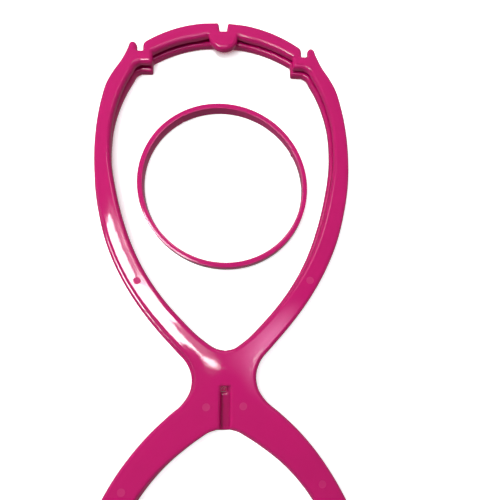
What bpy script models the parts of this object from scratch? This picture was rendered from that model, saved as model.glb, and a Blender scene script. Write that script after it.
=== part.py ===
"""Flat-packed wig and hat stand: two plastic loop frames that cross at the waist, and a loose crown ring.

The stand lies flat on a table, as it is packed. X runs across the stand, +Y points to its crown
and +Z is up. The origin is at the middle of the bounding box, on the table.
The two frames share one outline and lie on top of each other. The ring lies inside their loops.
"""

import math

import bpy

MM = 0.001

# Driving dimensions, in millimetres. Heights up the stand are measured from the middle of its waist.
CROWN_Y = 246.1
FOOT_Y = -113.6
FRAME_THICKNESS = 4.2
FRAME_GAP = 0.4
EDGE_ROUND = 1.5
EDGE_STEPS = 1
CURVE_SPACING = 5.0

# The slots that let the frames cross at right angles.
SLOT_WIDTH = 5.7
CROTCH_Y = -32.3
FRONT_SLOT_END = -5.3
REAR_SLOT_END = -7.5
LOOP_BOTTOM_Y = 17.7

# The notches at the crown: one in the middle for the other frame, one each side for the ring.
TOP_NOTCH_MOUTH = 6.2
TOP_NOTCH_FLOOR = 4.6
TOP_NOTCH_DEPTH = 6.0
BOSS_RADIUS = 9.9
BOSS_Y = 236.2
SIDE_NOTCH_X = 56.65
SIDE_NOTCH_WIDTH = 4.1
SIDE_NOTCH_FLOOR = 223.3
INNER_SHOULDER_Y = 228.9
OUTER_SHOULDER_Y = 227.6
SIDE_BOSS_INNER = 48.2
SIDE_BOSS_Y = 214.5
SIDE_BOSS_TOP_Y = 222.1

# The loose ring.
RING_DIAMETER = 115.3
RING_WALL = 3.5
RING_HEIGHT = 6.0
RING_CENTRE = (-0.5, 131.1)
RING_EDGE = 0.5
RING_STEPS = 96

PINK = (0.5, 0.004, 0.13, 1.0)

# One half of each outline, on the +X side, listed from the crown down.
CROWN_ARC = [(17.3, 244.8), (29.2, 241.8), (40.6, 237.2), (49.0, 232.6)]
SPIKE = [(59.4, 229.0), (61.3, 229.8), (63.2, 228.8), (64.9, 224.7)]
FLANK = [
    (68.7, 216.3), (74.0, 207.9), (78.3, 199.5), (81.5, 187.8), (84.2, 170.0), (85.2, 150.0),
    (84.2, 129.0), (81.3, 109.5), (75.9, 89.7), (67.2, 70.6), (55.6, 50.9), (42.2, 33.2),
    (30.4, 19.8), (22.6, 10.4), (19.8, 1.0), (21.1, -7.0), (26.2, -15.0), (34.9, -22.6),
    (46.8, -33.8), (57.9, -46.6), (68.0, -61.0), (76.2, -75.6), (82.6, -89.4), (87.3, -103.0),
]
LEG_INSIDE = [
    (70.3, -105.5), (64.6, -92.5), (57.5, -79.5), (48.6, -66.8), (37.5, -54.6), (25.0, -44.2),
    (15.0, -37.2), (9.3, -33.8),
]
LOOP_FLANK = [
    (5.4, 18.9), (15.2, 25.4), (28.4, 38.3), (41.6, 53.9), (52.0, 69.7), (60.2, 86.4),
    (66.7, 105.0), (71.5, 124.6), (74.5, 143.0), (75.1, 158.0), (73.8, 174.5), (70.5, 188.1),
    (65.9, 200.1), (61.5, 208.6), (59.5, 212.4), (56.2, 214.5),
]
CROWN_INSIDE = [(37.2, 227.8), (26.4, 231.9), (16.2, 234.4)]
CROWN_INSIDE_Y = 235.8
FOOT_OUTER_X = 90.2
FOOT_INNER_X = 73.4
FOOT_ROUND = 4.0


def clear_scene():
    """Removes whatever the scene holds already."""
    for thing in list(bpy.data.objects):
        bpy.data.objects.remove(thing, do_unlink=True)


def plastic(name, colour):
    """A glossy moulded plastic."""
    material = bpy.data.materials.new(name)
    material.use_nodes = True
    shader = material.node_tree.nodes["Principled BSDF"]
    shader.inputs["Base Color"].default_value = colour
    shader.inputs["Roughness"].default_value = 0.2
    shader.inputs["Metallic"].default_value = 0.0
    return material


def tangent(before, here, after):
    """The slope at a point, of the parabola through it and its two neighbours."""
    back, ahead = math.dist(before, here), math.dist(here, after)
    total = back + ahead
    return tuple(
        ((h - b) / back * ahead + (a - h) / ahead * back) / total for b, h, a in zip(before, here, after)
    )


def smooth(points):
    """Points at even steps along a smooth curve that passes through each given point."""
    first = tuple(2 * a - b for a, b in zip(points[0], points[1]))
    last = tuple(2 * a - b for a, b in zip(points[-1], points[-2]))
    padded = [first, *points, last]
    slopes = [tangent(*padded[i:i + 3]) for i in range(len(points))]
    curve = [points[0]]
    for start, end, slope_in, slope_out in zip(points, points[1:], slopes, slopes[1:]):
        chord = math.dist(start, end)
        steps = max(1, round(chord / CURVE_SPACING))
        for step in range(1, steps + 1):
            t = step / steps
            ease = t * t * (3 - 2 * t)
            lead, trail = t * (1 - t) ** 2 * chord, t * t * (t - 1) * chord
            curve.append(tuple(
                a + (b - a) * ease + lead * p + trail * q
                for a, b, p, q in zip(start, end, slope_in, slope_out)
            ))
    return curve


def arc(centre, radius, start, end, steps):
    """Points along a circular arc, from one angle to another, in degrees."""
    angles = [math.radians(start + (end - start) * i / steps) for i in range(steps + 1)]
    return [(centre[0] + radius * math.cos(a), centre[1] + radius * math.sin(a)) for a in angles]


def mirrored(half):
    """A closed outline from its +X half. Points on the middle line are kept once."""
    other = [(-x, y) for x, y in reversed(half) if x > 0]
    return half + other


def side_notch():
    """The open notch that holds the ring, from its inner shoulder to its outer one."""
    inner = SIDE_NOTCH_X - SIDE_NOTCH_WIDTH / 2
    outer = SIDE_NOTCH_X + SIDE_NOTCH_WIDTH / 2
    floor = SIDE_NOTCH_FLOOR
    return [(inner, INNER_SHOULDER_Y), (inner, floor), (outer, floor), (outer, OUTER_SHOULDER_Y)]


def foot():
    """The foot's flat end with its two rounded corners, from outside to inside."""
    r = FOOT_ROUND
    outer = arc((FOOT_OUTER_X - r, FOOT_Y + r), r, 0, -90, 3)
    inner = arc((FOOT_INNER_X + r, FOOT_Y + r), r, -90, -180, 3)
    return outer + inner


def outer_outline(slotted):
    """A frame's outside, with or without the notch at its crown and the slot at its crotch."""
    half = [(0.0, CROWN_Y)]
    if slotted:
        floor_y = CROWN_Y - TOP_NOTCH_DEPTH
        half = [(0.0, floor_y), (TOP_NOTCH_FLOOR / 2, floor_y), (TOP_NOTCH_MOUTH / 2, CROWN_Y)]
    notch = side_notch()
    crown = smooth([half[-1], *CROWN_ARC, notch[0]])
    spike_and_flank = smooth([*SPIKE, *FLANK, foot()[0]])
    inside = smooth([foot()[-1], *LEG_INSIDE, (SLOT_WIDTH / 2 + 1.5, CROTCH_Y)])
    half += crown[1:] + notch[1:] + spike_and_flank + foot()[1:] + inside[1:]
    if slotted:
        half += [(SLOT_WIDTH / 2, CROTCH_Y), (SLOT_WIDTH / 2, FRONT_SLOT_END)]
    else:
        half += [(0.0, CROTCH_Y)]
    return mirrored(half)


def front_loop():
    """The inside of the front frame's loop, with the boss under its top notch."""
    boss = arc((0.0, BOSS_Y), BOSS_RADIUS, 0, -90, 6)
    crown = smooth([(SIDE_BOSS_INNER, SIDE_BOSS_TOP_Y), *CROWN_INSIDE, boss[0]])
    flank = smooth([(0.0, LOOP_BOTTOM_Y), *LOOP_FLANK])
    return mirrored(flank + [(SIDE_BOSS_INNER, SIDE_BOSS_Y)] + crown + boss[1:-1] + [(0.0, boss[-1][1])])


def rear_loop():
    """The inside of the rear frame's loop, with the slot into its waist and the notch under its crown."""
    edge = SLOT_WIDTH / 2
    notch_y = CROWN_Y - TOP_NOTCH_DEPTH
    crown = smooth([(SIDE_BOSS_INNER, SIDE_BOSS_TOP_Y), *CROWN_INSIDE, (edge, CROWN_INSIDE_Y)])
    flank = smooth([(edge, LOOP_BOTTOM_Y), *LOOP_FLANK])
    half = [(edge, REAR_SLOT_END)] + flank + [(SIDE_BOSS_INNER, SIDE_BOSS_Y)] + crown
    return mirrored(half + [(edge, notch_y)])


def place(name, data, collection, location, material):
    """Adds an object with its material to the stand's collection."""
    thing = bpy.data.objects.new(name, data)
    data.materials.append(material)
    collection.objects.link(thing)
    thing.location = location
    return thing


def frame(name, outlines, low_z, collection, material):
    """A flat frame with rounded edges, filled between its outside and the inside of its loop."""
    curve = bpy.data.curves.new(name, "CURVE")
    curve.dimensions = "2D"
    curve.fill_mode = "BOTH"
    curve.bevel_depth = EDGE_ROUND * MM
    curve.bevel_resolution = EDGE_STEPS
    curve.offset = -EDGE_ROUND * MM
    curve.extrude = (FRAME_THICKNESS / 2 - EDGE_ROUND) * MM
    for outline in outlines:
        spline = curve.splines.new("POLY")
        spline.points.add(len(outline) - 1)
        for point, (x, y) in zip(spline.points, outline):
            point.co = (x * MM, y * MM, 0.0, 1.0)
        spline.use_cyclic_u = True
    middle_z = low_z + FRAME_THICKNESS / 2
    return place(name, curve, collection, (0.0, waist_y() * MM, middle_z * MM), material)


def waist_y():
    """The waist's place along Y, with the origin at the middle of the stand's length."""
    return -(CROWN_Y + FOOT_Y) / 2


def ring(name, collection, material):
    """The loose ring: a narrow band with softened edges, turned about its own axis."""
    outer, inner = RING_DIAMETER / 2, RING_DIAMETER / 2 - RING_WALL
    e, top = RING_EDGE, RING_HEIGHT
    profile = [
        (outer - e, top), (outer, top - e), (outer, e), (outer - e, 0.0),
        (inner + e, 0.0), (inner, e), (inner, top - e), (inner + e, top),
    ]
    mesh = bpy.data.meshes.new(name)
    edges = [(i, (i + 1) % len(profile)) for i in range(len(profile))]
    mesh.from_pydata([(x * MM, 0.0, z * MM) for x, z in profile], edges, [])
    centre = (RING_CENTRE[0] * MM, (RING_CENTRE[1] + waist_y()) * MM, 0.0)
    band = place(name, mesh, collection, centre, material)
    turn = band.modifiers.new("turn", "SCREW")
    turn.angle = math.tau
    turn.steps = turn.render_steps = RING_STEPS
    turn.use_merge_vertices = True
    turn.merge_threshold = 0.00001
    turn.use_smooth_shade = True
    return band


def main():
    clear_scene()
    stand = bpy.data.collections.new("wig_stand")
    bpy.context.scene.collection.children.link(stand)
    pink = plastic("pink_plastic", PINK)
    frame("rear_frame", [outer_outline(False), rear_loop()], 0.0, stand, pink)
    frame("front_frame", [outer_outline(True), front_loop()], FRAME_THICKNESS + FRAME_GAP, stand, pink)
    ring("crown_ring", stand, pink)


main()
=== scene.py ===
"""The looks of the flat-packed wig stand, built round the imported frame.

Both plates and the loose ring are remade as fine moulded surfaces: rounded rims, softly crowned
faces, the marks that the mould leaves, and a glossy pink plastic that varies a little.
"""

import math

import bmesh
import bpy
import numpy as np
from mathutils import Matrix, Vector
from mathutils.geometry import delaunay_2d_cdt
from mathutils.kdtree import KDTree

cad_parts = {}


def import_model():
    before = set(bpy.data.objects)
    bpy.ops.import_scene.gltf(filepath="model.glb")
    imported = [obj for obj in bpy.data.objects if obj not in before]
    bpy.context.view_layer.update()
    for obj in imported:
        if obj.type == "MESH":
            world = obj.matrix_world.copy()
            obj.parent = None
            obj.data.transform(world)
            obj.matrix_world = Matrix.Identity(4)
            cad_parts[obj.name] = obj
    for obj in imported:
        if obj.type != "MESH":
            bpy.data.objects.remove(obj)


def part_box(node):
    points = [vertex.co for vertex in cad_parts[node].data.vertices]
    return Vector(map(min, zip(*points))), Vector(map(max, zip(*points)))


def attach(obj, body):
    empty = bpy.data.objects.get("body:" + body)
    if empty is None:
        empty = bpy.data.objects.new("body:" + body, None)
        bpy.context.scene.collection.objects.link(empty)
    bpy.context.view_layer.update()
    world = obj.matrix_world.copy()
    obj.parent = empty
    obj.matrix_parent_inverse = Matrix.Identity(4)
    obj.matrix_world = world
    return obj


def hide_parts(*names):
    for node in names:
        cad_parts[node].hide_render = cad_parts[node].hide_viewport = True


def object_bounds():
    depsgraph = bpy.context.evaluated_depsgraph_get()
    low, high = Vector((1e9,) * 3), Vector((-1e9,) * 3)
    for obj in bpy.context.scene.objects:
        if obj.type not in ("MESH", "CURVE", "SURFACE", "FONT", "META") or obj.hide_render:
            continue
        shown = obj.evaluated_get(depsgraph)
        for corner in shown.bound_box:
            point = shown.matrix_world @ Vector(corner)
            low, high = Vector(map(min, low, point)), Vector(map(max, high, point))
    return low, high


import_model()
cad_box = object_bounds()

MM = 0.001

# The plates' outline, in millimetres. Heights up the stand are measured from the middle of its waist.
CROWN_Y = 246.1
FOOT_Y = -113.6
SLOT_WIDTH = 5.7
CROTCH_Y = -32.3
CROTCH_FLAT = 1.5
FRONT_SLOT_END = -5.3
REAR_SLOT_END = -7.5
LOOP_BOTTOM_Y = 17.7
TOP_NOTCH_MOUTH = 6.2
TOP_NOTCH_FLOOR = 4.6
TOP_NOTCH_DEPTH = 6.0
BOSS_RADIUS = 9.9
BOSS_Y = 236.2
SIDE_NOTCH_X = 56.65
SIDE_NOTCH_WIDTH = 4.1
SIDE_NOTCH_FLOOR = 223.3
INNER_SHOULDER_Y = 228.9
OUTER_SHOULDER_Y = 227.6
SIDE_BOSS_INNER = 48.2
SIDE_BOSS_Y = 214.5
SIDE_BOSS_TOP_Y = 222.1
CROWN_INSIDE_Y = 235.8
FOOT_OUTER_X = 90.2
FOOT_INNER_X = 73.4
FOOT_ROUND = 4.0

# One half of each curve, on the +X side. The outside runs down from the crown to the foot, and
# LEG_INSIDE back up to the crotch. The inside runs up from the bottom of the loop, then in to the middle.
CROWN_ARC = [(17.3, 244.8), (29.2, 241.8), (40.6, 237.2), (49.0, 232.6)]
SPIKE = [(59.4, 229.0), (61.3, 229.8), (63.2, 228.8), (64.9, 224.7)]
FLANK = [
    (68.7, 216.3), (74.0, 207.9), (78.3, 199.5), (81.5, 187.8), (84.4, 170.0), (85.5, 150.0),
    (84.4, 129.0), (80.9, 109.5), (75.4, 89.7), (67.2, 70.6), (55.6, 50.9), (42.2, 33.2),
    (30.4, 19.8), (22.6, 10.4), (19.8, 1.0), (21.1, -7.0), (26.2, -15.0), (34.9, -22.6),
    (46.8, -33.8), (57.9, -46.6), (68.0, -61.0), (76.2, -75.6), (82.6, -89.4), (87.3, -103.0),
]
LEG_INSIDE = [
    (70.3, -105.5), (64.6, -92.5), (57.5, -79.5), (48.6, -66.8), (37.5, -54.6), (25.0, -44.2),
    (15.0, -37.2), (9.3, -33.8),
]
LOOP_FLANK = [
    (5.4, 18.9), (15.2, 25.4), (28.4, 38.3), (41.6, 53.9), (52.0, 69.7), (60.2, 86.4),
    (66.7, 105.0), (71.5, 124.6), (74.5, 143.0), (75.1, 158.0), (73.8, 174.5), (70.5, 188.1),
    (65.9, 200.1), (61.5, 208.6), (59.5, 212.4), (56.2, 214.5),
]
CROWN_INSIDE = [(37.2, 227.8), (26.4, 231.9), (16.2, 234.4)]

# Finish of the moulded plates, in millimetres. ROW_CLEARANCE and GRID_CLEARANCE are shares of a row's
# distance from the rim and of the grid's spacing.
POINT_SPACING = 1.1
ON_MIDDLE = 1e-6
CORNER_STEPS = 5
TIGHT_CORNER = 0.5
SOFT_CORNER = 1.3
SHOULDER_CORNER = 2.2
FRONT_ROUND = 2.3
REAR_ROUND = 1.7
BACK_ROUND = 0.9
CROWN_RISE = 0.07
CROWN_WIDTH = 5.0
RIM_STEPS = (0.1, 0.32, 0.65, 1.0, 1.3, 1.6, 1.95, 2.3, 3.0, 4.0)
ROW_CLEARANCE = 0.97
GRID_SPACING = 2.4
GRID_CLEARANCE = 0.5
EJECTOR_RADIUS = 2.4
EJECTOR_DEPTH = 0.02
EJECTOR_STEP = 0.2
EJECTOR_SURROUND = 0.15
EJECTOR_CLEARANCE = 0.9
EJECTOR_EDGE = 0.01
EJECTOR_STEPS = 28
EJECTORS = [(56.1, 63.4), (11.7, -17.9), (62.2, -68.0)]

# How the flat mesh is made: its kind of output, its tolerance, and the points tested at a time.
TRIANGLES_INSIDE = 1
SAME_POINT = 1e-6
CHUNK = 1000

# How the loosely stacked plates lie, in millimetres and degrees: neither is quite in line with the
# other, and the front one is propped a little on its -X side. Each pair is a height up the stand and
# how far the plate lies to the +X side there.
PLATE_THICKNESS = 4.2
FRONT_LIE = [(-110.0, -1.0), (-60.0, -0.8), (0.0, 0.6), (100.0, 0.8), (200.0, 0.4)]
FRONT_RISE = 0.2
FRONT_PROP = 0.6
REAR_LIE = [
    (-110.0, -0.9), (-60.0, -1.0), (-20.0, -1.7), (0.0, -2.2), (100.0, -2.3), (200.0, -1.0), (250.0, -0.9),
]
REAR_RISE = -1.2

# Finish of the ring, in millimetres and degrees.
RING_WALL = 3.5
RING_ROUND = 0.35
RING_OVAL = 0.8
OVAL_ANGLE = 128.0
RING_STEPS = 720
RING_EDGE_STEPS = 5
GATE_ANGLE = 120.0
GATE_DEPTH = 0.35
NUB_ANGLE = 27.0
NUB_HEIGHT = 0.5
BUMP_WIDTH = 0.8

# Looks. Lengths are in metres, but the camera's lens is in millimetres. Its turn is in degrees.
PINK = (0.52, 0.004, 0.135)
PLATE_HAZE = (0.04, 0.08)
RING_HAZE = (0.05, 0.08)
PLASTIC_IOR = 1.58
CLOUD_SCALE = 28.0
CLOUD_DETAIL = 3.0
CLOUD_TINTS = (0.94, 1.06)
MARK_ROUGHNESS = 0.6
PEEL_SCALE = 260.0
PEEL_DETAIL = 2.0
PEEL_STRENGTH = 0.03
PEEL_DEPTH = 0.0005
FLOOR_SIZE = 8.0
FLOOR_GAP = 0.0002
FLOOR_ROUGHNESS = 0.9
FLOOR_WHITE = (0.9, 0.9, 0.9, 1.0)
# The floor's glow in the open, and its painted shade where the stand shuts out the light: the pink its
# colour and glow turn to, the dimmer glow there, how far and with how many samples the shut-out is sought,
# and the shares of open sky over which the painted shadow and the pink fade.
FLOOR_SHADE = (0.5, 0.01, 0.12, 1.0)
FLOOR_GLOW = 0.7
SHADE_GLOW = 0.3
SHADE_REACH = 0.02
SHADE_SAMPLES = 12
PAINTED_SHADOW_SKY = (0.2, 0.5)
PAINTED_SHADE_SKY = (0.18, 0.36)
CAMERA_PLACE = (0.0197, -0.05475, 0.2329)
CAMERA_TURN = (4.574, -3.138, -0.961)
CAMERA_LENS = 24.84
CAMERA_SHIFT = (-0.048, 0.165)
CAMERA_CLIP = 0.01
LIGHT_HEIGHT = 0.7
WINDOW_SIDE = (-0.75, 0.55, 0.1)
WINDOW_FADE = (-0.2, 1.0)
WORLD_DIM = 0.2
WORLD_BRIGHT = 0.3
GROUND_GLOW = 0.3
GLOW_TINT = (1.0, 0.6, 0.9, 1.0)
EDGE_LIFT = 0.02
GLOW_LIFT = 0.04

# Panes of light over the stand. Each corner is a pair of slopes, across and up the stand: how far the
# light comes sideways for each metre of height, on its way by a level face to the camera.
WINDOW = [
    (-0.4, 0.432), (-0.394, 0.432), (-0.383, 0.394), (-0.365, 0.357), (-0.345, 0.307), (-0.31, 0.232),
    (-0.275, 0.229), (-0.188, 0.154), (-0.165, 0.122), (-0.223, 0.13), (-0.188, 0.084),
    (-0.154, 0.046), (-0.122, 0.006), (-0.122, -0.006), (-0.139, 0.017), (-0.159, 0.029),
    (-0.191, 0.035), (-0.229, 0.038), (-0.435, 0.235), (-0.455, 0.371),
]
WINDOW_RIGHT = [
    (-0.345, 0.409), (-0.325, 0.409), (-0.307, 0.351), (-0.275, 0.293), (-0.229, 0.255),
    (-0.188, 0.206), (-0.27, 0.206), (-0.296, 0.272), (-0.322, 0.336),
]
WAIST_PANE = [
    (-0.145, 0.009), (-0.116, 0.019), (-0.099, 0.012), (-0.087, -0.023), (-0.107, -0.019),
    (-0.13, -0.004),
]
WAIST_STREAK = [
    (0.032, -0.032), (0.038, -0.003), (0.052, 0.017), (0.061, 0.012), (0.049, -0.017), (0.041, -0.035),
]
WINDOW_EDGE = [
    (-0.397, 0.481), (-0.386, 0.481), (-0.342, 0.38), (-0.304, 0.272), (-0.116, 0.075),
    (-0.084, 0.012), (-0.13, -0.023), (-0.275, 0.162), (-0.377, 0.336),
]


def tangent(before, here, after):
    """The slope at a point, of the parabola through it and its two neighbours."""
    back, ahead = math.dist(before, here), math.dist(here, after)
    total = back + ahead
    return tuple(
        ((h - b) / back * ahead + (a - h) / ahead * back) / total for b, h, a in zip(before, here, after)
    )


def smooth(points):
    """Points at even steps along a smooth curve that passes through each given point."""
    first = tuple(2 * a - b for a, b in zip(points[0], points[1]))
    last = tuple(2 * a - b for a, b in zip(points[-1], points[-2]))
    padded = [first, *points, last]
    slopes = [tangent(*padded[i:i + 3]) for i in range(len(points))]
    curve = [points[0]]
    for start, end, slope_in, slope_out in zip(points, points[1:], slopes, slopes[1:]):
        chord = math.dist(start, end)
        steps = max(1, round(chord / POINT_SPACING))
        for step in range(1, steps + 1):
            t = step / steps
            ease = t * t * (3 - 2 * t)
            lead, trail = t * (1 - t) ** 2 * chord, t * t * (t - 1) * chord
            curve.append(tuple(
                a + (b - a) * ease + lead * p + trail * q
                for a, b, p, q in zip(start, end, slope_in, slope_out)
            ))
    return curve


def line(start, end):
    """Points at even steps along a straight line."""
    steps = max(2, round(math.dist(start, end) / POINT_SPACING))
    return [tuple(a + (b - a) * i / steps for a, b in zip(start, end)) for i in range(steps + 1)]


def arc(centre, radius, start, end):
    """Points along a circular arc, from one angle to another, in degrees."""
    steps = max(6, round(math.radians(abs(end - start)) * radius / POINT_SPACING))
    angles = [math.radians(start + (end - start) * i / steps) for i in range(steps + 1)]
    return [(centre[0] + radius * math.cos(a), centre[1] + radius * math.sin(a)) for a in angles]


def cut_back(points, length):
    """A run of points shortened at its end by a length measured along it."""
    kept = list(points)
    while length > 0 and len(kept) > 2:
        step = math.dist(kept[-1], kept[-2])
        if step > length:
            share = length / step
            kept[-1] = tuple(a + (b - a) * share for a, b in zip(kept[-1], kept[-2]))
            return kept
        length -= step
        kept.pop()
    return kept


def bend(start, corner, end):
    """Points round a corner, on the curve that leaves its two sides without a kink."""
    steps = [(i + 1) / (CORNER_STEPS + 1) for i in range(CORNER_STEPS)]
    return [
        tuple((1 - t) ** 2 * a + 2 * t * (1 - t) * b + t * t * c for a, b, c in zip(start, corner, end))
        for t in steps
    ]


def joined(runs):
    """One run of points from several that meet end to end, with the corner after each one rounded.

    Each item is a run and how far along both sides its closing corner is rounded, or 0 to keep it.
    """
    path = list(runs[0][0])
    for (_, size), (following, _) in zip(runs, runs[1:]):
        corner = following[0]
        if size == 0:
            path += following[1:]
            continue
        path = cut_back(path, size)
        rest = cut_back(following[::-1], size)[::-1]
        path += bend(path[-1], corner, rest[0]) + rest
    return path


def mirrored(half):
    """A closed outline from its +X half, which starts and ends on the middle line."""
    return half + [(-x, y) for x, y in reversed(half) if x > ON_MIDDLE]


def side_notch():
    """The corners of the open notch that holds the ring, from its inner shoulder to its outer one."""
    inner = SIDE_NOTCH_X - SIDE_NOTCH_WIDTH / 2
    outer = SIDE_NOTCH_X + SIDE_NOTCH_WIDTH / 2
    floor = SIDE_NOTCH_FLOOR
    return [(inner, INNER_SHOULDER_Y), (inner, floor), (outer, floor), (outer, OUTER_SHOULDER_Y)]


def leg_runs():
    """The outside of one half, from the side notch down and round the foot."""
    r = FOOT_ROUND
    outer = arc((FOOT_OUTER_X - r, FOOT_Y + r), r, 0, -90)
    inner = arc((FOOT_INNER_X + r, FOOT_Y + r), r, -90, -180)
    notch = side_notch()
    return [
        (line(notch[0], notch[1]), TIGHT_CORNER),
        (line(notch[1], notch[2]), TIGHT_CORNER),
        (line(notch[2], notch[3]), TIGHT_CORNER),
        (smooth([notch[3], *SPIKE, *FLANK, outer[0]]), 0),
        (outer, 0),
        (line(outer[-1], inner[0]), 0),
        (inner, 0),
    ]


def outer_outline(slotted):
    """A plate's outside, with or without the notch at its crown and the slot at its crotch."""
    edge = SLOT_WIDTH / 2
    shoulder = side_notch()[0]
    foot_end = (FOOT_INNER_X, FOOT_Y + FOOT_ROUND)
    inside = smooth([foot_end, *LEG_INSIDE, (edge + CROTCH_FLAT, CROTCH_Y)])
    if not slotted:
        crown = [(smooth([(0.0, CROWN_Y), *CROWN_ARC, shoulder]), SHOULDER_CORNER)]
        crotch = [(inside, 0), (line(inside[-1], (0.0, CROTCH_Y)), 0)]
        return mirrored(joined(crown + leg_runs() + crotch))
    floor_y = CROWN_Y - TOP_NOTCH_DEPTH
    floor_corner, mouth = (TOP_NOTCH_FLOOR / 2, floor_y), (TOP_NOTCH_MOUTH / 2, CROWN_Y)
    crown = [
        (line((0.0, floor_y), floor_corner), TIGHT_CORNER),
        (line(floor_corner, mouth), SOFT_CORNER),
        (smooth([mouth, *CROWN_ARC, shoulder]), SHOULDER_CORNER),
    ]
    slot = [
        (inside, 0),
        (line(inside[-1], (edge, CROTCH_Y)), TIGHT_CORNER),
        (line((edge, CROTCH_Y), (edge, FRONT_SLOT_END)), TIGHT_CORNER),
        (line((edge, FRONT_SLOT_END), (0.0, FRONT_SLOT_END)), 0),
    ]
    return mirrored(joined(crown + leg_runs() + slot))


def front_loop():
    """The inside of the front plate's loop, with the boss under its top notch."""
    boss = arc((0.0, BOSS_Y), BOSS_RADIUS, 0, -90)
    boss_top, boss_low = (SIDE_BOSS_INNER, SIDE_BOSS_TOP_Y), (SIDE_BOSS_INNER, SIDE_BOSS_Y)
    runs = [
        (smooth([(0.0, LOOP_BOTTOM_Y), *LOOP_FLANK]), 0),
        (line(LOOP_FLANK[-1], boss_low), SOFT_CORNER),
        (line(boss_low, boss_top), SOFT_CORNER),
        (smooth([boss_top, *CROWN_INSIDE, boss[0]]), SOFT_CORNER),
        (boss, 0),
    ]
    return mirrored(joined(runs))


def rear_loop():
    """The inside of the rear plate's loop, with the slot into its waist and the notch under its crown."""
    edge = SLOT_WIDTH / 2
    notch_y = CROWN_Y - TOP_NOTCH_DEPTH
    boss_top, boss_low = (SIDE_BOSS_INNER, SIDE_BOSS_TOP_Y), (SIDE_BOSS_INNER, SIDE_BOSS_Y)
    slot_end, slot_mouth = (edge, REAR_SLOT_END), (edge, LOOP_BOTTOM_Y)
    runs = [
        (line((0.0, REAR_SLOT_END), slot_end), TIGHT_CORNER),
        (line(slot_end, slot_mouth), TIGHT_CORNER),
        (smooth([slot_mouth, *LOOP_FLANK]), 0),
        (line(LOOP_FLANK[-1], boss_low), SOFT_CORNER),
        (line(boss_low, boss_top), SOFT_CORNER),
        (smooth([boss_top, *CROWN_INSIDE, (edge, CROWN_INSIDE_Y)]), TIGHT_CORNER),
        (line((edge, CROWN_INSIDE_Y), (edge, notch_y)), TIGHT_CORNER),
        (line((edge, notch_y), (0.0, notch_y)), 0),
    ]
    return mirrored(joined(runs))


def edge_arrays(outlines):
    """Start and end points of every edge of some closed outlines."""
    starts = np.concatenate([np.array(o) for o in outlines])
    ends = np.concatenate([np.roll(np.array(o), -1, axis=0) for o in outlines])
    return starts, ends


def firsts(outlines):
    """The number of the first point of each outline, counted over all of them."""
    return np.cumsum([0] + [len(o) for o in outlines[:-1]])


def rim_distance(points, outlines):
    """How far each point is from the nearest outline: from the edges either side of its nearest point."""
    starts, ends = edge_arrays(outlines)
    before = np.concatenate([
        np.roll(np.arange(len(outline)), 1) + first for outline, first in zip(outlines, firsts(outlines))
    ])
    tree = KDTree(len(starts))
    for i, (x, y) in enumerate(starts):
        tree.insert((x, y, 0.0), i)
    tree.balance()
    nearest = np.array([tree.find((x, y, 0.0))[1] for x, y in points])
    gaps = []
    for edge in (nearest, before[nearest]):
        along = ends[edge] - starts[edge]
        away = points - starts[edge]
        share = np.clip((away * along).sum(1) / (along ** 2).sum(1), 0, 1)
        gaps.append(np.linalg.norm(away - share[:, None] * along, axis=1))
    return np.minimum(*gaps)


def is_inside(points, outlines):
    """True for each point on material: an odd number of outline edges lie to one side of it."""
    starts, ends = edge_arrays(outlines)
    rise = ends[:, 1] - starts[:, 1]
    safe_rise = np.where(rise == 0, 1, rise)
    found = []
    for chunk in np.array_split(points, max(1, len(points) // CHUNK)):
        x, y = chunk[:, :1], chunk[:, 1:]
        spans = (starts[None, :, 1] > y) != (ends[None, :, 1] > y)
        cross = starts[:, 0] + (y - starts[:, 1]) / safe_rise * (ends[:, 0] - starts[:, 0])
        found.append((spans & (cross > x)).sum(1) % 2 == 1)
    return np.concatenate(found)


def rim_rows(outline, outlines):
    """Rows of points that follow an outline on its material side, close together near the rim.

    Points that come nearer to another part of the rim than their own row is are left out.
    """
    here = np.array(outline)
    along = np.roll(here, -1, axis=0) - np.roll(here, 1, axis=0)
    normal = np.stack([-along[:, 1], along[:, 0]], axis=1)
    normal /= np.linalg.norm(normal, axis=1, keepdims=True)
    if not is_inside(here[:1] + normal[:1] * RIM_STEPS[0], outlines)[0]:
        normal = -normal
    rows = []
    for step in RIM_STEPS:
        row = here + normal * step
        rows.append(row[rim_distance(row, outlines) > step * ROW_CLEARANCE])
    return rows


def grid_points(outlines):
    """A staggered grid over the material, clear of the rows along its rims."""
    low, high = np.array(outlines[0]).min(0), np.array(outlines[0]).max(0)
    row_height = GRID_SPACING * math.sqrt(3) / 2
    points = [
        (x + (GRID_SPACING / 2 if row % 2 else 0), y)
        for row, y in enumerate(np.arange(low[1], high[1], row_height))
        for x in np.arange(low[0], high[0], GRID_SPACING)
    ]
    points = np.array(points)
    points = points[is_inside(points, outlines)]
    return points[rim_distance(points, outlines) > RIM_STEPS[-1] + GRID_SPACING * GRID_CLEARANCE]


def ejector_centres():
    """Where the mould's ejector pins touched the face, on both halves."""
    return [(side * x, y) for x, y in EJECTORS for side in (1, -1)]


def ejector_points():
    """Close circles of points where each ejector mark's edge steps down."""
    angles = [math.tau * i / EJECTOR_STEPS for i in range(EJECTOR_STEPS)]
    return np.array([
        (x + radius * math.cos(a), y + radius * math.sin(a))
        for x, y in ejector_centres()
        for radius in (EJECTOR_RADIUS - EJECTOR_STEP, EJECTOR_RADIUS, EJECTOR_RADIUS + EJECTOR_SURROUND)
        for a in angles
    ])


def without_ejector_ground(points):
    """Grid points away from the ejector marks' edges."""
    gaps = [np.hypot(points[:, 0] - x, points[:, 1] - y) for x, y in ejector_centres()]
    return points[np.abs(np.min(gaps, axis=0) - EJECTOR_RADIUS) > EJECTOR_CLEARANCE]


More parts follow.
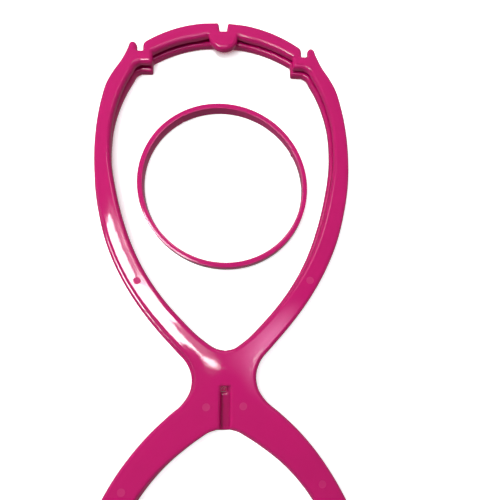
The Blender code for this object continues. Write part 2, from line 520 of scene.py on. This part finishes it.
def on_ejectors(points):
    """1 on the ejector marks and 0 elsewhere."""
    gaps = [np.hypot(points[:, 0] - x, points[:, 1] - y) for x, y in ejector_centres()]
    return (np.min(gaps, axis=0) < EJECTOR_RADIUS + EJECTOR_EDGE).astype(float)


def rounded_drop(distance, radius):
    """How far a rounded rim lies below its face, at a distance from the rim."""
    inward = np.clip(radius - distance, 0, radius)
    return radius - np.sqrt(radius ** 2 - inward ** 2)


def face_drop(points, distance, rounding):
    """How far the front face lies below the plate's full height: rim, crown and ejector marks."""
    rise = np.clip((distance - rounding) / CROWN_WIDTH, 0, 1)
    drop = rounded_drop(distance, rounding) + CROWN_RISE * (1 - rise * rise * (3 - 2 * rise))
    for x, y in ejector_centres():
        from_mark = np.hypot(points[:, 0] - x, points[:, 1] - y)
        drop += EJECTOR_DEPTH * np.clip((EJECTOR_RADIUS - from_mark) / EJECTOR_STEP, 0, 1)
    return drop


def add_piece(name, points, faces, material):
    """Adds a smooth-shaded mesh object with its material."""
    mesh = bpy.data.meshes.new(name)
    mesh.from_pydata([tuple(p) for p in points], [], faces)
    mesh.update()
    mesh.shade_smooth()
    mesh.materials.append(material)
    piece = bpy.data.objects.new(name, mesh)
    bpy.context.collection.objects.link(piece)
    return piece


def flat_mesh(outlines):
    """A flat mesh of the material between some outlines.

    Gives its corners, its triangles, how far each corner is from the rim, and the rim's edges.
    """
    rims = np.concatenate([np.array(o) for o in outlines])
    rows = [row for outline in outlines for row in rim_rows(outline, outlines)]
    grid = without_ejector_ground(grid_points(outlines))
    flat = np.concatenate([rims, *rows, grid, ejector_points()])
    edges = [
        (int(first) + i, int(first) + (i + 1) % len(outline))
        for outline, first in zip(outlines, firsts(outlines))
        for i in range(len(outline))
    ]
    made = delaunay_2d_cdt([Vector(p) for p in flat], edges, [], TRIANGLES_INSIDE, SAME_POINT, True)
    corners, triangles, sources = np.array([tuple(p) for p in made[0]]), np.array(made[2]), made[3]
    triangles = triangles[is_inside(corners[triangles].mean(1), outlines)]
    on_rim = {source: i for i, found in enumerate(sources) for source in found if source < len(rims)}
    distance = rim_distance(corners, outlines)
    distance[list(on_rim.values())] = 0.0
    return corners, triangles, distance, [(on_rim[a], on_rim[b]) for a, b in edges]


def plate(name, outlines, node, material, face_z, rounding, lie, rise, prop=0.0):
    """A moulded plate in place of a CAD frame: its outline, with rounded rims on both faces.

    Lie and rise say how it is shifted across and up the stand, and prop how much its -X side is up.
    """
    low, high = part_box(node)
    waist_y = low.y - FOOT_Y * MM
    corners, triangles, distance, rim_edges = flat_mesh(outlines)
    x = corners[:, 0] + np.interp(corners[:, 1], *zip(*lie))
    where = np.stack([x * MM, (corners[:, 1] + rise) * MM + waist_y], axis=1)
    tilt = (high.x - where[:, 0]) * math.tan(math.radians(prop))
    top = face_z - face_drop(corners, distance, rounding) * MM + tilt
    bottom = face_z - PLATE_THICKNESS * MM + rounded_drop(distance, BACK_ROUND) * MM + tilt
    count = len(corners)
    vertices = np.concatenate([np.column_stack([where, top]), np.column_stack([where, bottom])])
    faces = [tuple(int(i) for i in t) for t in triangles]
    faces += [tuple(int(i) + count for i in reversed(t)) for t in triangles]
    faces += [(a, b, b + count, a + count) for a, b in rim_edges]
    piece = add_piece(name, vertices, faces, material)
    face_outward(piece)
    matt = piece.data.attributes.new("matt", "FLOAT", "POINT")
    matt.data.foreach_set("value", np.concatenate([on_ejectors(corners), np.zeros(count)]))
    return piece


def face_outward(piece):
    """Turns a closed mesh's faces to point out."""
    shape = bmesh.new()
    shape.from_mesh(piece.data)
    bmesh.ops.recalc_face_normals(shape, faces=shape.faces)
    shape.to_mesh(piece.data)
    shape.free()


def ring_profile(height):
    """The band's section as (distance out from the inner wall, height), with rounded edges."""
    r = RING_ROUND
    corners = [
        ((RING_WALL - r, height - r), 90, 0),
        ((RING_WALL - r, r), 0, -90),
        ((r, r), -90, -180),
        ((r, height - r), 180, 90),
    ]
    section = []
    for (x, z), start, end in corners:
        for i in range(RING_EDGE_STEPS + 1):
            a = math.radians(start + (end - start) * i / RING_EDGE_STEPS)
            section.append((x + r * math.cos(a), z + r * math.sin(a)))
    return section


def bump_at(angle, centre, width):
    """A soft bump of height 1 at an angle round the ring, in degrees; the width is along the wall."""
    return math.exp(-(((angle - centre) / width) ** 2))


def band_faces(turns, count):
    """The faces of a closed band made of some turns of points, with the same count in each."""
    faces = []
    for turn in range(turns):
        here, there = turn * count, (turn + 1) % turns * count
        for i in range(count):
            following = (i + 1) % count
            faces.append((here + i, here + following, there + following, there + i))
    return faces


def ring(name, node, material):
    """The loose ring as a fine turned band, with its gate mark and nub on the inner wall."""
    low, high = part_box(node)
    middle = (low + high) / 2
    inner = (high.x - low.x) / 2 / MM - RING_WALL
    section = ring_profile((high.z - low.z) / MM)
    bump_degrees = math.degrees(BUMP_WIDTH / inner)
    vertices = []
    for step in range(RING_STEPS):
        angle = 360 * step / RING_STEPS
        a = math.radians(angle)
        gate = bump_at(angle, GATE_ANGLE, bump_degrees) * GATE_DEPTH
        nub = bump_at(angle, NUB_ANGLE, bump_degrees) * NUB_HEIGHT
        oval = RING_OVAL * math.cos(2 * math.radians(angle - OVAL_ANGLE))
        for x, z in section:
            mark = gate - nub if x < RING_WALL / 2 else 0.0
            out = (inner + x + mark + oval) * MM
            vertices.append((middle.x + out * math.cos(a), middle.y + out * math.sin(a), low.z + z * MM))
    piece = add_piece(name, vertices, band_faces(RING_STEPS, len(section)), material)
    face_outward(piece)
    return piece


def remap(tree, value, source, target):
    """A node that carries a value from one range over to another."""
    node = tree.nodes.new("ShaderNodeMapRange")
    node.inputs["From Min"].default_value, node.inputs["From Max"].default_value = source
    node.inputs["To Min"].default_value, node.inputs["To Max"].default_value = target
    tree.links.new(value, node.inputs["Value"])
    return node


def glossy_plastic(name, colour, haze_range):
    """Glossy moulded plastic: pigment that varies a little, faint flow ripples and orange peel."""
    material = bpy.data.materials.new(name)
    material.use_nodes = True
    nodes, links = material.node_tree.nodes, material.node_tree.links
    shader = nodes["Principled BSDF"]
    shader.inputs["IOR"].default_value = PLASTIC_IOR
    place = nodes.new("ShaderNodeTexCoord")

    cloud = nodes.new("ShaderNodeTexNoise")
    cloud.inputs["Scale"].default_value = CLOUD_SCALE
    cloud.inputs["Detail"].default_value = CLOUD_DETAIL
    links.new(place.outputs["Object"], cloud.inputs["Vector"])
    tint = nodes.new("ShaderNodeMix")
    tint.data_type = "RGBA"
    for side, share in zip("AB", CLOUD_TINTS):
        tint.inputs[side].default_value = (*(c * share for c in colour), 1.0)
    links.new(cloud.outputs["Fac"], tint.inputs["Factor"])
    links.new(tint.outputs["Result"], shader.inputs["Base Color"])

    haze = remap(material.node_tree, cloud.outputs["Fac"], (0.0, 1.0), haze_range)
    mark = nodes.new("ShaderNodeAttribute")
    mark.attribute_name = "matt"
    rough = nodes.new("ShaderNodeMath")
    rough.operation = "MULTIPLY_ADD"
    rough.inputs[1].default_value = MARK_ROUGHNESS
    links.new(mark.outputs["Fac"], rough.inputs[0])
    links.new(haze.outputs["Result"], rough.inputs[2])
    links.new(rough.outputs["Value"], shader.inputs["Roughness"])

    peel = nodes.new("ShaderNodeTexNoise")
    peel.inputs["Scale"].default_value = PEEL_SCALE
    peel.inputs["Detail"].default_value = PEEL_DETAIL
    links.new(place.outputs["Object"], peel.inputs["Vector"])
    bump = nodes.new("ShaderNodeBump")
    bump.inputs["Strength"].default_value = PEEL_STRENGTH
    bump.inputs["Distance"].default_value = PEEL_DEPTH
    links.new(peel.outputs["Fac"], bump.inputs["Height"])
    links.new(bump.outputs["Normal"], shader.inputs["Normal"])
    return material


def reach():
    """How far the way from the camera down to the top face and up to the lights goes, in height."""
    return CAMERA_PLACE[2] - cad_box[1].z + LIGHT_HEIGHT


def overhead(slopes, lift=0.0):
    """The place among the lights that a level face mirrors to the camera, at a pair of slopes."""
    height = cad_box[1].z + LIGHT_HEIGHT + lift
    return (CAMERA_PLACE[0] + slopes[0] * reach(), CAMERA_PLACE[1] + slopes[1] * reach(), height)


def softbox(name, centre, size, radiance):
    """A rectangular light over the stand. Centre and size are slopes, across and up the stand."""
    data = bpy.data.lights.new(name, "AREA")
    data.shape = "RECTANGLE"
    data.size, data.size_y = (s * reach() for s in size)
    data.energy = radiance * math.pi * data.size * data.size_y
    light = bpy.data.objects.new(name, data)
    light.location = overhead(centre)
    light.visible_camera = False
    bpy.context.collection.objects.link(light)
    return light


def window(name, corners, radiance, lift=0.0):
    """A bright window pane over the stand, its corners given as slopes."""
    places = [overhead(corner, lift) for corner in corners]
    material = bpy.data.materials.new(name + "_light")
    material.use_nodes = True
    nodes, links = material.node_tree.nodes, material.node_tree.links
    nodes.remove(nodes["Principled BSDF"])
    shine = nodes.new("ShaderNodeEmission")
    shine.inputs["Strength"].default_value = radiance
    links.new(shine.outputs["Emission"], nodes["Material Output"].inputs["Surface"])
    pane = add_piece(name, places, [tuple(range(len(places)))], material)
    pane.visible_camera = False
    return pane


def glow(name, centre, radius, radiance):
    """A square pane over the stand that is bright in its middle and fades towards its rim."""
    sides = [(-radius, -radius), (radius, -radius), (radius, radius), (-radius, radius)]
    pane = window(name, [(centre[0] + x, centre[1] + y) for x, y in sides], radiance, GLOW_LIFT)
    middle = sum((v.co for v in pane.data.vertices), Vector()) / len(sides)
    half_width = pane.data.vertices[1].co.x - middle.x
    tree = pane.data.materials[0].node_tree
    place = tree.nodes.new("ShaderNodeTexCoord")
    apart = tree.nodes.new("ShaderNodeVectorMath")
    apart.operation = "DISTANCE"
    apart.inputs[1].default_value = middle
    tree.links.new(place.outputs["Object"], apart.inputs[0])
    fade = remap(tree, apart.outputs["Value"], (0.0, half_width), (radiance, WORLD_BRIGHT))
    fade.interpolation_type = "SMOOTHSTEP"
    shine = tree.nodes["Emission"]
    shine.inputs["Color"].default_value = GLOW_TINT
    tree.links.new(fade.outputs["Result"], shine.inputs["Strength"])


def floor_looks():
    """Pale floor that glows like a studio sweep, with painted pink shade and a painted dimmer, pink glow
    where the stand shuts out the light.
    """
    material = bpy.data.materials.new("pale_floor")
    material.use_nodes = True
    tree = material.node_tree
    shader = tree.nodes["Principled BSDF"]
    shader.inputs["Roughness"].default_value = FLOOR_ROUGHNESS
    shader.inputs["Specular IOR Level"].default_value = 0.0
    open_sky = tree.nodes.new("ShaderNodeAmbientOcclusion")
    open_sky.samples = SHADE_SAMPLES
    open_sky.inputs["Distance"].default_value = SHADE_REACH
    # Painted shadow: the floor's glow is dimmed towards SHADE_GLOW where the stand shuts out the sky, so
    # the floor beside and under the plates looks shaded.
    glow_with_painted_shadow = remap(tree, open_sky.outputs["AO"], PAINTED_SHADOW_SKY, (SHADE_GLOW, FLOOR_GLOW))
    tree.links.new(glow_with_painted_shadow.outputs["Result"], shader.inputs["Emission Strength"])
    # Painted shade: the floor's colour and the colour of its glow turn to the pink FLOOR_SHADE where the
    # stand shuts out the sky. This stands in for shade and for pink light bounced off the plates.
    painted_shade_share = remap(tree, open_sky.outputs["AO"], PAINTED_SHADE_SKY, (0.0, 1.0))
    tint = tree.nodes.new("ShaderNodeMix")
    tint.data_type = "RGBA"
    tint.inputs["A"].default_value = FLOOR_SHADE
    tint.inputs["B"].default_value = FLOOR_WHITE
    tree.links.new(painted_shade_share.outputs["Result"], tint.inputs["Factor"])
    for socket in ("Base Color", "Emission Color"):
        tree.links.new(tint.outputs["Result"], shader.inputs[socket])
    return material


def floor():
    """A wide pale floor under the stand, kept out of the stand's gloss."""
    bpy.ops.mesh.primitive_plane_add(size=FLOOR_SIZE, location=(0, 0, cad_box[0].z - FLOOR_GAP))
    ground = bpy.context.object
    ground.name = "floor"
    ground.data.materials.append(floor_looks())
    ground.visible_diffuse = False
    ground.visible_glossy = False


def world():
    """Dim light from all round, brighter towards the window side, and the table's light from below."""
    surroundings = bpy.data.worlds.new("studio")
    bpy.context.scene.world = surroundings
    surroundings.use_nodes = True
    tree = surroundings.node_tree
    nodes, links = tree.nodes, tree.links
    nodes["Background"].inputs["Color"].default_value = (1.0, 1.0, 1.0, 1.0)
    place = nodes.new("ShaderNodeTexCoord")
    towards = nodes.new("ShaderNodeVectorMath")
    towards.operation = "DOT_PRODUCT"
    towards.inputs[1].default_value = WINDOW_SIDE
    links.new(place.outputs["Generated"], towards.inputs[0])
    fade = remap(tree, towards.outputs["Value"], WINDOW_FADE, (WORLD_DIM, WORLD_BRIGHT))
    fade.interpolation_type = "SMOOTHSTEP"
    height = nodes.new("ShaderNodeSeparateXYZ")
    links.new(place.outputs["Generated"], height.inputs["Vector"])
    below = nodes.new("ShaderNodeMath")
    below.operation = "LESS_THAN"
    below.inputs[1].default_value = 0.0
    links.new(height.outputs["Z"], below.inputs[0])
    both = nodes.new("ShaderNodeMix")
    both.inputs["B"].default_value = GROUND_GLOW
    links.new(below.outputs["Value"], both.inputs["Factor"])
    links.new(fade.outputs["Result"], both.inputs["A"])
    links.new(both.outputs["Result"], nodes["Background"].inputs["Strength"])


def camera():
    """The camera, close above the waist and nearly straight down."""
    data = bpy.data.cameras.new("camera")
    data.lens = CAMERA_LENS
    data.shift_x, data.shift_y = CAMERA_SHIFT
    data.clip_start = CAMERA_CLIP
    viewer = bpy.data.objects.new("camera", data)
    viewer.location = CAMERA_PLACE
    viewer.rotation_euler = [math.radians(a) for a in CAMERA_TURN]
    bpy.context.collection.objects.link(viewer)
    bpy.context.scene.camera = viewer


bpy.context.scene.view_settings.view_transform = "Standard"

pink = glossy_plastic("pink_plastic", PINK, PLATE_HAZE)
ring_pink = glossy_plastic("ring_plastic", PINK, RING_HAZE)

rear = plate(
    "rear_plate", [outer_outline(False), rear_loop()], "rear_frame", pink,
    cad_box[0].z + PLATE_THICKNESS * MM, REAR_ROUND, REAR_LIE, REAR_RISE,
)
front = plate(
    "front_plate", [outer_outline(True), front_loop()], "front_frame", pink,
    cad_box[1].z, FRONT_ROUND, FRONT_LIE, FRONT_RISE, FRONT_PROP,
)
band = ring("crown_band", "crown_ring", ring_pink)

for piece, node, slot in (
    (rear, "rear_frame", "pink_plastic"),
    (front, "front_frame", "pink_plastic"),
    (band, "crown_ring", "ring_plastic"),
):
    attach(piece, node)
    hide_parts(node)

world()
floor()
camera()
window("window", WINDOW, radiance=24.0)
window("window_right", WINDOW_RIGHT, radiance=16.0)
window("window_edge", WINDOW_EDGE, radiance=2.4, lift=EDGE_LIFT)
window("waist_pane", WAIST_PANE, radiance=20.0)
window("waist_streak", WAIST_STREAK, radiance=10.0)
softbox("skylight", centre=(-0.07, 0.5), size=(0.26, 0.2), radiance=3.0)
for fill in (
    softbox("top_fill", centre=(-0.3, 1.7), size=(1.6, 0.5), radiance=4.5),
    softbox("left_fill", centre=(-1.4, -0.05), size=(0.5, 0.9), radiance=11.0),
    softbox("right_fill", centre=(0.9, 0.5), size=(0.35, 0.6), radiance=7.0),
):
    fill.visible_glossy = False
glow("waist_glow", centre=(0.075, 0.05), radius=0.17, radiance=5.5)
